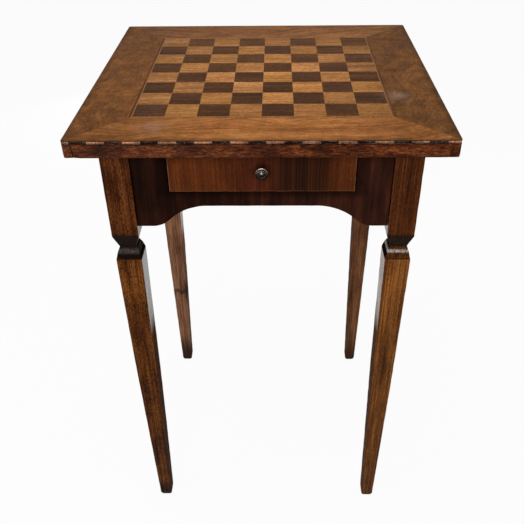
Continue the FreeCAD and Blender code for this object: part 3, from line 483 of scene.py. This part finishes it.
def leg_wood(name, look, specular, neck_low):
    """Leg wood: upright grain, a redder block, a black-brown neck and a painted highlight on the ridge of
    the flare.
    """
    s = Shader(name)
    grain = Grain(s, "Z", look.shift, pith=(0.35, 0.3), pitch=7 * MM, warp=9 * MM)
    colour = grain.colour(look.tones, rings=0.08, **look.weights)
    _, _, height = s.split(s.still)
    # Painted shade just under the top's overhang.
    colour = shade_under_top(s, s.shade(colour, s.span(height, *look.fade)), 10 * MM, 0.4)
    foot_high, foot_level = look.foot
    colour = s.shade(colour, s.span(height, 0.3 * foot_high, foot_high, foot_level, 1.0))
    in_block = s.span(height, NECK_HIGH - 1 * MM, NECK_HIGH + 1 * MM)
    colour = s.mix(in_block, colour, s.vector("MULTIPLY", colour, look.block_tint))
    if look.knot is not None:
        colour = knotted(s, colour, look.knot)
    flare = s.math("MULTIPLY", s.span(height, NECK_LOW - 0.3 * MM, NECK_LOW + 0.1 * MM),
                   s.span(height, NECK_MIDDLE + 1 * MM, NECK_MIDDLE))
    colour = s.darken(colour, flare, 0.55)
    above = s.span(height, neck_low - 0.4 * MM, neck_low + 0.1 * MM)
    below = s.span(height, NECK_HIGH + 5.0 * MM, NECK_HIGH - 1.0 * MM)
    stain = s.math("MULTIPLY", above, s.math("MULTIPLY_ADD", grain.mottle, 0.07, 0.91))
    black_brown, painted_glint = srgb(15, 8, 6), srgb(200, 188, 184)
    colour = s.mix(s.math("MULTIPLY", stain, below), colour, black_brown)
    streaks = s.span(s.noise(grain.stretched(240.0, 560.0), detail=4.0), 0.34, 0.66, 0.15, 1.0)
    # A painted highlight in pale streaks along the ridge of the flare.
    glint_share, glint_reach = look.rubbed
    ridge = s.span(s.math("ABSOLUTE", s.math("SUBTRACT", height, RIDGE)), glint_reach, 0.2 * MM)
    share = s.math("MULTIPLY", ridge, s.math("MULTIPLY", streaks, glint_share))
    colour = s.mix(share, colour, painted_glint)
    # A painted shadow line where the flare meets the shaft.
    quirk_shadow = s.math("MULTIPLY", s.span(height, NECK_LOW - 0.1 * MM, NECK_LOW + 0.2 * MM),
                   s.span(height, NECK_LOW + 1.8 * MM, NECK_LOW + 0.8 * MM))
    colour = s.darken(colour, quirk_shadow, 0.6)
    return varnished(s, colour, grain, roughness=0.3, specular=specular, worn=srgb(136, 84, 42),
                     wear=0.22, dirt_and_shade=0.5, dirt_and_shade_reach=20 * MM)


def apron_wood():
    """Aprons: almost black varnish with a little red in the upright grain."""
    s = Shader("apron_wood")
    x, _, z = s.split(s.place)
    low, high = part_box("drawer_front")
    grain = Grain(s, "Z", pitch=8 * MM, warp=8 * MM)
    colour = grain.colour((srgb(22, 10, 7), srgb(34, 16, 11), srgb(46, 22, 14), srgb(64, 32, 20)),
                          rings=0.1, broad=0.3, fine=0.2, speckle=0.15, mottle=0.4)
    # Painted shade just under the top's overhang.
    colour = shade_under_top(s, s.shade(colour, s.span(x, -130 * MM, 160 * MM, 0.8, 1.55)), 10 * MM, 0.4)
    # Painted shade of the gap beside the drawer, with dirt, on both sides of the opening.
    beside = s.math("MULTIPLY", s.span(s.math("ABSOLUTE", x), high.x + 24 * MM, high.x + 3 * MM),
                    s.span(z, low.z - 14 * MM, low.z))
    colour = s.darken(colour, beside, 0.62)
    return varnished(s, colour, grain, roughness=0.42, specular=0.015, worn=srgb(80, 44, 28), wear=0.3,
                     dirt_and_shade=0.5)


def drawer_wood():
    """Drawer front: upright grain, orange brown at the left, redder by the knob, then dark stripes."""
    s = Shader("drawer_wood")
    x, _, z = s.split(s.place)
    grain = Grain(s, "Z", pith=(-0.6, 0.1), pitch=5 * MM, warp=3 * MM)
    weights = {"rings": 0.08, "broad": 0.2, "fine": 0.3, "speckle": 0.3, "mottle": 0.3}
    orange = grain.colour((srgb(60, 28, 12), srgb(82, 40, 17), srgb(98, 49, 21), srgb(118, 63, 29)),
                          **weights)
    red = grain.colour((srgb(44, 18, 10), srgb(62, 27, 15), srgb(76, 34, 18), srgb(96, 46, 24)),
                       **weights)
    plain = s.mix(s.span(x, -70 * MM, -10 * MM), orange, red)
    bands = s.noise(grain.stretched(2.0, 520.0), detail=3.0, roughness=0.6)
    striped = s.ramp(bands, ((0.3, srgb(27, 13, 7)), (0.46, srgb(42, 21, 11)), (0.56, srgb(53, 26, 13)),
                             (0.74, srgb(70, 36, 18))))
    striped = s.shade(striped, s.span(grain.broad, 0.0, 1.0, 0.8, 1.15))
    share = s.math("MULTIPLY", s.span(x, 6 * MM, 30 * MM), s.span(x, 66 * MM, 104 * MM, 1.0, 0.2))
    warm = s.mix(s.span(x, 60 * MM, 100 * MM), plain, orange)
    # Painted shade just under the top's overhang.
    colour = shade_under_top(s, s.mix(share, warm, striped), 10 * MM, 0.4)
    low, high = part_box("drawer_front")
    near_side = s.span(s.math("ABSOLUTE", x), high.x - 1.6 * MM, high.x - 0.6 * MM)
    near_foot = s.span(z, low.z + 1.6 * MM, low.z + 0.6 * MM)
    rubbed_off = s.span(s.noise(s.place, scale=120.0, detail=4.0), 0.3, 0.56, 0.25, 0.75)
    arris = s.math("MULTIPLY", s.math("MAXIMUM", near_side, near_foot), rubbed_off)
    colour = s.mix(arris, colour, srgb(158, 108, 78))
    # Painted shadow of the knob, with dirt, round it on the drawer front.
    knob_low, knob_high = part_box("knob")
    knob_shade_and_dirt = s.spot((0.0, (knob_low.z + knob_high.z) / 2), 18 * MM, "XZ")
    colour = s.darken(colour, knob_shade_and_dirt, 0.8)
    return varnished(s, colour, grain, roughness=0.38, specular=0.02, dirt_and_shade=0.3, dirt_and_shade_reach=14 * MM)


def carcase_wood(name, axis):
    """Bare, greyed secondary wood of the parts inside."""
    s = Shader(name)
    grain = Grain(s, axis, pitch=7 * MM, warp=9 * MM)
    tones = (srgb(104, 74, 47), srgb(134, 100, 66), srgb(152, 117, 80), srgb(174, 140, 101))
    colour = grain.colour(tones, rings=0.2, broad=0.3, fine=0.3, speckle=0.25, mottle=0.35)
    return varnished(s, colour, grain, roughness=0.66, specular=0.05, worn=srgb(190, 158, 118), wear=0.3,
                     dirt_and_shade=0.5)


def knob_metal():
    """Dark cast metal, with painted highlights on the upper half of its raised rings, painted shade and
    dirt between them, and painted light from above.
    """
    s = Shader("knob_metal")
    grit = s.noise(s.place, scale=900.0, detail=4.0)
    cloud = s.noise(s.place, scale=260.0, detail=3.0)
    colour = s.ramp(cloud, ((0.3, srgb(38, 33, 30)), (0.7, srgb(66, 60, 55))))
    # Painted shade in the hollows and a little painted light on open faces, from ambient occlusion.
    open_share = s.shelter(3 * MM)
    colour = s.shade(colour, s.span(open_share, 0.3, 0.95, 0.12, 1.3))
    # Painted light from above: faces that look up are paler, those that look down darker.
    _, _, upward = s.split(s.add("ShaderNodeNewGeometry").outputs["Normal"])
    colour = s.shade(colour, s.span(upward, -0.25, 0.6, 0.3, 2.6))
    across, _, height = s.split(s.place)
    # A painted darker lower half.
    colour = s.shade(colour, s.span(height, -7 * MM, 2 * MM, 0.25, 1.0))
    low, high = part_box("knob")
    rim = (high.x - low.x) / 2
    radius = s.vector("LENGTH", s.gather(across, 0.0, height))
    upper = s.span(height, -1 * MM, 3 * MM)
    # Painted highlights on the upper half of the raised rings and painted shade, with dirt, in the sunk
    # rings: middle and reach as shares of the rim's radius, and level.
    rings = ((0.92, 0.09, 2.6), (0.8, 0.06, 0.1), (0.67, 0.1, 4.0), (0.52, 0.07, 0.1))
    for middle, reach, level in rings:
        off = s.math("ABSOLUTE", s.math("SUBTRACT", radius, middle * rim))
        band = s.math("MULTIPLY", s.span(off, reach * rim, 0.5 * reach * rim), upper)
        colour = s.shade(colour, s.math("MULTIPLY_ADD", band, level - 1.0, 1.0))
    s.bump(grit, 0.04 * MM, 0.5)
    return s.finish(colour, s.span(open_share, 0.4, 0.95, 0.6, 0.36), Metallic=1.0)


def screw_metal():
    """Dull steel with brown spots."""
    s = Shader("screw_metal")
    cloud = s.noise(s.place, scale=500.0, detail=4.0)
    colour = s.ramp(cloud, ((0.35, srgb(130, 126, 120)), (0.6, srgb(112, 92, 74))))
    s.bump(cloud, 0.05 * MM, 0.4)
    return s.finish(colour, s.spread(cloud, 0.35, 0.6), Metallic=1.0)


def sliced(mesh, axis, step):
    """Cut a mesh across an axis at even steps, so that its edges can be uneven along their length."""
    places = [vert.co.dot(axis) for vert in mesh.verts]
    low, high = min(places), max(places)
    count = max(1, round((high - low) / step))
    for number in range(1, count):
        spot = axis * (low + (high - low) * number / count)
        parts = mesh.verts[:] + mesh.edges[:] + mesh.faces[:]
        bmesh.ops.bisect_plane(mesh, geom=parts, plane_co=spot, plane_no=axis, dist=ON_PLANE)


def rubbed(mesh, verts, amount, size):
    """Move points of the arrises inwards by uneven amounts, as years of use do."""
    falloff, spacing, octaves = 0.9, 2.0, 3
    everywhere = 0.35
    mesh.normal_update()
    moves = []
    for vert in verts:
        level = everywhere + noise.fractal(vert.co / size, falloff, spacing, octaves)
        moves.append((vert, vert.normal * (-amount * max(0.0, level))))
    for vert, move in moves:
        vert.co += move


def placed(name, data):
    """A new object of the scene."""
    thing = bpy.data.objects.new(name, data)
    bpy.context.scene.collection.objects.link(thing)
    return thing


def as_piece(mesh, name):
    """A smooth-shaded object from a mesh that is done with."""
    data = bpy.data.meshes.new(name)
    mesh.to_mesh(data)
    mesh.free()
    data.shade_smooth()
    return placed(name, data)


def dressed(node, material, bevel, slices=(), rub=0.0, rub_size=18 * MM):
    """A finished copy of a CAD node, with eased and rubbed arrises, that stands for it."""
    mesh = bmesh.new()
    mesh.from_mesh(NODES[node].data)
    bmesh.ops.remove_doubles(mesh, verts=mesh.verts, dist=WELD)
    bmesh.ops.dissolve_limit(mesh, angle_limit=FLAT, verts=mesh.verts, edges=mesh.edges)
    for axis, step in slices:
        sliced(mesh, axis, step)
    corners = [edge for edge in mesh.edges
               if len(edge.link_faces) == 2 and edge.calc_face_angle() > ARRIS]
    made = bmesh.ops.bevel(mesh, geom=corners, offset=bevel, offset_type="OFFSET", segments=2,
                           profile=0.5, affect="EDGES", clamp_overlap=True)
    if rub:
        rubbed(mesh, [vert for vert in made["verts"] if vert.is_valid], rub, rub_size)
    piece = as_piece(mesh, f"{node}_finished")
    piece.data.set_sharp_from_angle(angle=SHARP)
    piece.data.materials.append(material)
    even = piece.modifiers.new("even_normals", "WEIGHTED_NORMAL")
    even.keep_sharp = True
    stand_for(piece, node)
    return piece


def stand_for(piece, node):
    """Let a piece take a CAD node's place in the picture."""
    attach(piece, BODY_OF[node])
    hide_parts(node)


def paint(node, material):
    """Give a CAD node a better material."""
    data = NODES[node].data
    data.materials.clear()
    data.materials.append(material)


def turned(name, profile, segments):
    """A closed turning about the Y axis from points of radius and place, front to back."""
    mesh = bmesh.new()
    rings = []
    for radius, place in profile:
        ring = []
        for number in range(segments if radius > 0 else 1):
            angle = 2 * math.pi * number / segments
            ring.append(mesh.verts.new((radius * math.cos(angle), place, radius * math.sin(angle))))
        rings.append(ring)
    for first, second in zip(rings, rings[1:]):
        for number in range(segments):
            other = (number + 1) % segments
            corners = [first[number % len(first)], first[other % len(first)],
                       second[other % len(second)], second[number % len(second)]]
            mesh.faces.new(list(dict.fromkeys(corners)))
    bmesh.ops.recalc_face_normals(mesh, faces=mesh.faces)
    return as_piece(mesh, name)


def bow(start, end, bulge, steps):
    """Points on a smooth bow between two points, which bulges to the left of the way."""
    start, end = Vector(start), Vector(end)
    side = Vector((start.y - end.y, end.x - start.x)).normalized()
    points = []
    for step in range(steps + 1):
        share = step / steps
        points.append(start.lerp(end, share) + side * bulge * math.sin(math.pi * share))
    return points


def make_knob():
    """Round knob in three steps: a rolled rim, a ring and a dome, on a waisted stem."""
    low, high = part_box("knob")
    rim = (high.x - low.x) / 2
    front, back = low.y, high.y
    deep = back - front
    # The profile is written in shares of the rim's radius and of the knob's depth.
    points = [(0.0, front)]
    points += bow((0.01 * rim, front), (0.47 * rim, front + 0.20 * deep), -0.03 * rim, 8)[1:]
    points += [(0.51 * rim, front + 0.21 * deep), (0.56 * rim, front + 0.20 * deep)]
    points += bow((0.585 * rim, front + 0.17 * deep), (0.765 * rim, front + 0.19 * deep), -0.09 * rim, 8)
    points += [(0.775 * rim, front + 0.24 * deep), (0.80 * rim, front + 0.30 * deep)]
    points += bow((0.85 * rim, front + 0.30 * deep), (0.86 * rim, front + 0.46 * deep), -0.135 * rim, 10)
    points += bow((0.80 * rim, front + 0.48 * deep), (0.46 * rim, front + 0.70 * deep), 0.06 * rim, 6)
    points += bow((0.44 * rim, front + 0.74 * deep), (0.55 * rim, back), 0.04 * rim, 5)
    points += [(0.0, back)]
    piece = turned("knob_finished", [tuple(point) for point in points], 64)
    piece.location.z = (low.z + high.z) / 2
    piece.data.materials.append(knob_metal())
    stand_for(piece, "knob")


def make_top():
    """Edge strips, chequer strips, border veneers and the board."""
    golden = (srgb(98, 56, 26), srgb(136, 84, 42), srgb(156, 100, 54), srgb(178, 122, 70))
    honey = (srgb(84, 50, 26), srgb(116, 74, 42), srgb(136, 90, 54), srgb(158, 110, 68))
    brown = (srgb(72, 42, 19), srgb(100, 62, 31), srgb(116, 74, 39), srgb(138, 93, 52))
    dusky = (srgb(68, 40, 19), srgb(96, 60, 30), srgb(110, 71, 37), srgb(132, 90, 52))
    straight = {"rings": 0.12, "broad": 0.3, "fine": 0.3, "speckle": 0.22, "mottle": 0.3}
    soft = {"rings": 0.04, "broad": 0.08, "fine": 0.16, "speckle": 0.3, "mottle": 0.26}
    borders = {
        "front": border_wood("border_front_wood", "X", golden, shift=(0.0, 0.0, 0.0), pith=(-0.75, 0.35),
                             ends=0.7, tilt=0.12, blotch=0.16, **straight),
        "back": border_wood("border_back_wood", "X", honey, shift=(0.9, 0.3, 0.1), pith=(0.8, 0.4),
                            ends=0.85, tilt=0.16, blotch=0.16, **straight),
        "left": border_wood("border_left_wood", "Y", brown, shift=(0.3, 1.1, 0.2), pith=(-0.1, 0.9),
                            ends=0.95, tilt=0.0, blotch=0.24, **soft),
        "right": border_wood("border_right_wood", "Y", dusky, shift=(0.5, 0.2, 0.6), pith=(0.2, 0.9),
                             ends=0.9, tilt=0.0, blotch=0.28, **soft),
    }
    light = (srgb(114, 71, 34), srgb(151, 99, 53), srgb(168, 115, 65), srgb(195, 142, 86))
    dark = (srgb(50, 27, 12), srgb(71, 42, 21), srgb(84, 52, 27), srgb(104, 70, 41))
    paint("light_squares", square_wood("light_square_wood", light, variety=0.1, middle_paler=0.3,
                                       paler_to_back=0.0))
    paint("dark_squares", square_wood("dark_square_wood", dark, variety=0.09, middle_paler=0.0,
                                      paler_to_back=0.15))
    paint("board_lines", line_wood())
    woods = {"X": edge_wood("edge_wood", "X"), "Y": edge_wood("edge_side_wood", "Y")}
    for side, wood in borders.items():
        along, axis = ("X", X) if side in ("front", "back") else ("Y", Y)
        slices = ((axis, 9 * MM),)
        dressed(f"border_{side}", wood, bevel=0.18 * MM, slices=slices, rub=0.12 * MM)
        dressed(f"lipping_{side}", woods[along], bevel=0.5 * MM, slices=slices, rub=0.45 * MM)
    pale = (srgb(120, 76, 54), srgb(160, 108, 80), srgb(182, 128, 98), srgb(206, 156, 124))
    black = (srgb(22, 13, 10), srgb(34, 21, 17), srgb(48, 31, 26), srgb(74, 54, 48))
    strips = {
        "light": chequer_wood("chequer_light_wood", pale, worn=srgb(230, 200, 176), wear=0.6),
        "dark": chequer_wood("chequer_dark_wood", black, worn=srgb(186, 160, 146), wear=0.4),
    }
    clear_of_ends = ((X, 7.16 * MM), (Y, 7.27 * MM))
    for tone, wood in strips.items():
        dressed(f"edge_chequer_{tone}", wood, bevel=0.3 * MM, slices=clear_of_ends, rub=0.4 * MM,
                rub_size=6 * MM)


def cut_foot(mesh, middle, half, high):
    """Cut the lowest part of a leg closely enough to carry a curve."""
    planes = [(Z, Z * high * share) for share in (1.0, 0.45, 0.12)]
    planes += [(axis, middle + axis * half * share)
               for axis in (X, Y) for share in (-0.85, -0.6, 0.6, 0.85)]
    for normal, spot in planes:
        faces = [face for face in mesh.faces
                 if min(vert.co.z for vert in face.verts) < high - 0.01 * MM]
        parts = dict.fromkeys(part for face in faces for part in (face, *face.edges, *face.verts))
        bmesh.ops.bisect_plane(mesh, geom=list(parts), plane_co=spot, plane_no=normal, dist=ON_PLANE)


def round_foot(data):
    """Round the lowest part of a leg in plan and towards the floor, as wear does."""
    high, draw, squareness = 10 * MM, 0.18, 4.0
    mesh = bmesh.new()
    mesh.from_mesh(data)
    low = [vert.co.copy() for vert in mesh.verts if vert.co.z < high]
    middle = Vector([(min(spot[axis] for spot in low) + max(spot[axis] for spot in low)) / 2
                     for axis in (0, 1)] + [0])
    half = max(spot.x for spot in low) - middle.x
    cut_foot(mesh, middle, half, high)
    for vert in mesh.verts:
        if vert.co.z < high:
            worn = 1.0 - vert.co.z / high
            across, deep = abs(vert.co.x - middle.x) / half, abs(vert.co.y - middle.y) / half
            reach = (across ** squareness + deep ** squareness) ** (1 / squareness)
            corner = 1.0 - max(across, deep) / reach if reach else 0.0
            share = (1.0 - draw * worn ** 2) * (1.0 - worn * corner)
            vert.co.x = middle.x + share * (vert.co.x - middle.x)
            vert.co.y = middle.y + share * (vert.co.y - middle.y)
    mesh.to_mesh(data)
    mesh.free()


def leg_face(data, face, polish_low):
    """Number of a leg face's material: the wood, or a step of polish in dimmed painted-shade tones on
    inner faces and neck sides.
    """
    squarely, mostly, downward = 0.85, 0.6, -0.1
    heights = [data.vertices[number].co.z for number in face.vertices]
    height = (min(heights) + max(heights)) / 2
    in_neck = NECK_LOW < height < NECK_HIGH
    inward = face.normal.x * face.center.x < 0
    if inward and abs(face.normal.x) > squarely and (not in_neck or face.normal.z < downward):
        step = int(max(0.0, polish_low - height) / POLISH_STEP)
        return 1 + min(step, len(POLISH) - 2)
    if in_neck and abs(face.normal.x) > mostly:
        return len(POLISH)
    return 0


def make_frame():
    """Legs, aprons, and the parts under the top."""
    left = (srgb(30, 13, 4), srgb(60, 29, 8), srgb(88, 47, 15), srgb(124, 74, 30))
    right = (srgb(40, 20, 8), srgb(78, 43, 17), srgb(106, 63, 26), srgb(144, 91, 42))
    pinkish = (srgb(72, 47, 32), srgb(116, 78, 56), srgb(139, 97, 71), srgb(163, 119, 92))
    russet = (srgb(56, 34, 20), srgb(92, 57, 35), srgb(112, 72, 46), srgb(138, 94, 64))
    dull, dark = (0.78, 0.72, 0.9), (0.44, 0.35, 0.38)
    speckled = {"broad": 0.2, "fine": 0.34, "speckle": 0.5, "mottle": 0.34}
    streaky = {"broad": 0.2, "fine": 0.5, "speckle": 0.24, "mottle": 0.34}
    lined = {"broad": 0.12, "fine": 0.42, "speckle": 0.3, "mottle": 0.22}
    even = (0.0, 0.3, 0.9, 1.0)
    # rubbed gives each leg the share and reach of the painted highlight on its flare's ridge.
    looks = {
        "front_left": LegLook(
            left, (0.0, 0.0, 0.0), speckled, fade=(0.3, 0.5, 0.9, 1.1), foot=(55 * MM, 0.35),
            block_tint=dull, neck_low=NECK_LOW, rubbed=(0.14, 6 * MM), polish_low=0.46, knot=None),
        "front_right": LegLook(
            right, (0.4, 0.9, 0.3), lined, fade=(0.36, 0.54, 1.0, 1.4), foot=(30 * MM, 0.8),
            block_tint=dark, neck_low=NECK_MIDDLE, rubbed=(1.0, 3.4 * MM), polish_low=0.465, knot=None),
        "back_left": LegLook(
            pinkish, (0.8, 0.3, 0.6), streaky, fade=even, foot=(90 * MM, 0.22),
            block_tint=dull, neck_low=NECK_LOW, rubbed=(0.4, 3.4 * MM), polish_low=0.4, knot=KNOT),
        "back_right": LegLook(
            russet, (0.2, 0.6, 1.4), streaky, fade=even, foot=(50 * MM, 0.45),
            block_tint=dark, neck_low=NECK_LOW, rubbed=(0.4, 3.4 * MM), polish_low=NECK_HIGH, knot=None),
    }
    inner_shade_level = 0.6
    for corner, look in looks.items():
        wood = leg_wood(f"leg_{corner}_wood", look, OUTER_GLOSS, look.neck_low)
        leg = dressed(f"leg_{corner}", wood, bevel=0.5 * MM, slices=((Z, POLISH_STEP),), rub=0.4 * MM)
        # Inner faces and neck sides take the leg's tones dimmed: painted shade under their gloss.
        shaded = look._replace(tones=[dimmed(tone, inner_shade_level) for tone in look.tones])
        for number, gloss in enumerate(POLISH):
            leg.data.materials.append(leg_wood(f"leg_{corner}_inner_{number}", shaded, gloss, NECK_LOW))
        round_foot(leg.data)
        for face in leg.data.polygons:
            face.material_index = leg_face(leg.data, face, look.polish_low)
    apron = apron_wood()
    for side, axis in (("front", X), ("back", X), ("left", Y), ("right", Y)):
        dressed(f"{side}_apron", apron, bevel=0.6 * MM, slices=((axis, 12 * MM),), rub=0.35 * MM)
    woods = {"X": carcase_wood("carcase_wood_x", "X"), "Y": carcase_wood("carcase_wood_y", "Y")}
    for node in [node for node, slot in SLOTS.items() if slot == "carcase_wood"]:
        low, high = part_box(node)
        size = high - low
        paint(node, woods["X" if size.x > size.y else "Y"])
    steel = screw_metal()
    for node in ("top_screws", "knob_screw", "bottom_nails"):
        paint(node, steel)


def make_drawer():
    """Drawer front and knob; the box behind is painted with the parts inside."""
    slices = ((X, 9 * MM), (Z, 9 * MM))
    dressed("drawer_front", drawer_wood(), bevel=0.35 * MM, slices=slices, rub=0.3 * MM)
    make_knob()


def seen_directly(tree):
    """One where a ray comes from the eye, a reflection or a clear thing, and else zero."""
    path = tree.nodes.new("ShaderNodeLightPath")
    value = path.outputs["Is Camera Ray"]
    for other in ("Is Glossy Ray", "Is Transmission Ray"):
        larger = tree.nodes.new("ShaderNodeMath")
        larger.operation = "MAXIMUM"
        tree.links.new(value, larger.inputs[0])
        tree.links.new(path.outputs[other], larger.inputs[1])
        value = larger.outputs[0]
    return value


def make_floor():
    """Pale floor that is white to the eye and in reflections, and still shows the table's shadow."""
    reach = 12.0
    grey = 0.86
    white_share = 0.94
    data = bpy.data.meshes.new("floor")
    corners = [(-reach, -reach, 0), (reach, -reach, 0), (reach, reach, 0), (-reach, reach, 0)]
    data.from_pydata(corners, [], [(0, 1, 2, 3)])
    floor = placed("floor", data)
    material = bpy.data.materials.new("floor_white")
    material.use_nodes = True
    tree = material.node_tree
    tree.nodes.clear()
    matte = tree.nodes.new("ShaderNodeBsdfDiffuse")
    matte.inputs["Color"].default_value = (grey, grey, grey, 1.0)
    white = tree.nodes.new("ShaderNodeEmission")
    white.inputs["Color"].default_value = (1.0, 1.0, 1.0, 1.0)
    white.inputs["Strength"].default_value = 1.0
    share = tree.nodes.new("ShaderNodeMath")
    share.operation = "MULTIPLY"
    share.inputs[1].default_value = white_share
    tree.links.new(seen_directly(tree), share.inputs[0])
    blend = tree.nodes.new("ShaderNodeMixShader")
    tree.links.new(share.outputs[0], blend.inputs["Fac"])
    tree.links.new(matte.outputs[0], blend.inputs[1])
    tree.links.new(white.outputs[0], blend.inputs[2])
    output = tree.nodes.new("ShaderNodeOutputMaterial")
    tree.links.new(blend.outputs[0], output.inputs["Surface"])
    data.materials.append(material)


def make_light():
    """Even pale surroundings, soft lights overhead and in front, and weak ones from the other sides."""
    unseen_level, seen_level = 0.35, 1.0
    warm_white = (1.0, 0.98, 0.95)
    target = Vector((0, 0, 0.6))
    world = bpy.data.worlds.new("studio")
    bpy.context.scene.world = world
    world.use_nodes = True
    tree = world.node_tree
    tree.nodes.clear()
    level = tree.nodes.new("ShaderNodeMapRange")
    level.inputs["To Min"].default_value = unseen_level
    level.inputs["To Max"].default_value = seen_level
    tree.links.new(seen_directly(tree), level.inputs["Value"])
    sky = tree.nodes.new("ShaderNodeBackground")
    sky.inputs["Color"].default_value = (1.0, 1.0, 1.0, 1.0)
    tree.links.new(level.outputs["Result"], sky.inputs["Strength"])
    output = tree.nodes.new("ShaderNodeOutputWorld")
    tree.links.new(sky.outputs[0], output.inputs["Surface"])
    # Name, place and size in metres, and power.
    lamps = (("overhead", (-0.3, -0.4, 2.4), 1.4, 16.5), ("left_fill", (-1.9, -1.2, 1.3), 1.2, 5.0),
             ("front_key", (-0.3, -2.2, 1.8), 0.7, 22.0), ("right_fill", (1.9, 0.7, 0.4), 0.6, 5.0),
             ("back_fill", (-0.6, 2.0, 0.4), 0.6, 5.0))
    for name, spot, size, power in lamps:
        lamp = bpy.data.lights.new(name, "AREA")
        lamp.shape = "SQUARE"
        lamp.size = size
        lamp.energy = power
        lamp.color = warm_white
        holder = placed(name, lamp)
        holder.location = spot
        aim = target - Vector(spot)
        holder.rotation_euler = aim.to_track_quat("-Z", "Y").to_euler()


def make_camera():
    """The view of the photograph, in a picture as wide as it is high."""
    # The picture's width, the focal length and the lens's middle are in pixels, the turns in radians.
    picture = 524.0
    focal, middle = 678.85, (265.93, 292.98)
    spot = Vector((19.24, -994.26, 1074.0)) * MM
    yaw, pitch, roll = -0.0197, -0.6432, -0.0115
    camera = bpy.data.cameras.new("camera")
    camera.sensor_width = 36.0
    camera.lens = focal / picture * camera.sensor_width
    camera.shift_x = 0.5 - middle[0] / picture
    camera.shift_y = middle[1] / picture - 0.5
    holder = placed("camera", camera)
    turn = (Matrix.Rotation(-yaw, 4, "Z") @ Matrix.Rotation(math.pi / 2 + pitch, 4, "X")
            @ Matrix.Rotation(roll, 4, "Z"))
    holder.matrix_world = Matrix.Translation(spot) @ turn
    bpy.context.scene.camera = holder


make_top()
make_frame()
make_drawer()
make_floor()
make_light()
make_camera()
bpy.context.scene.view_settings.view_transform = "Standard"
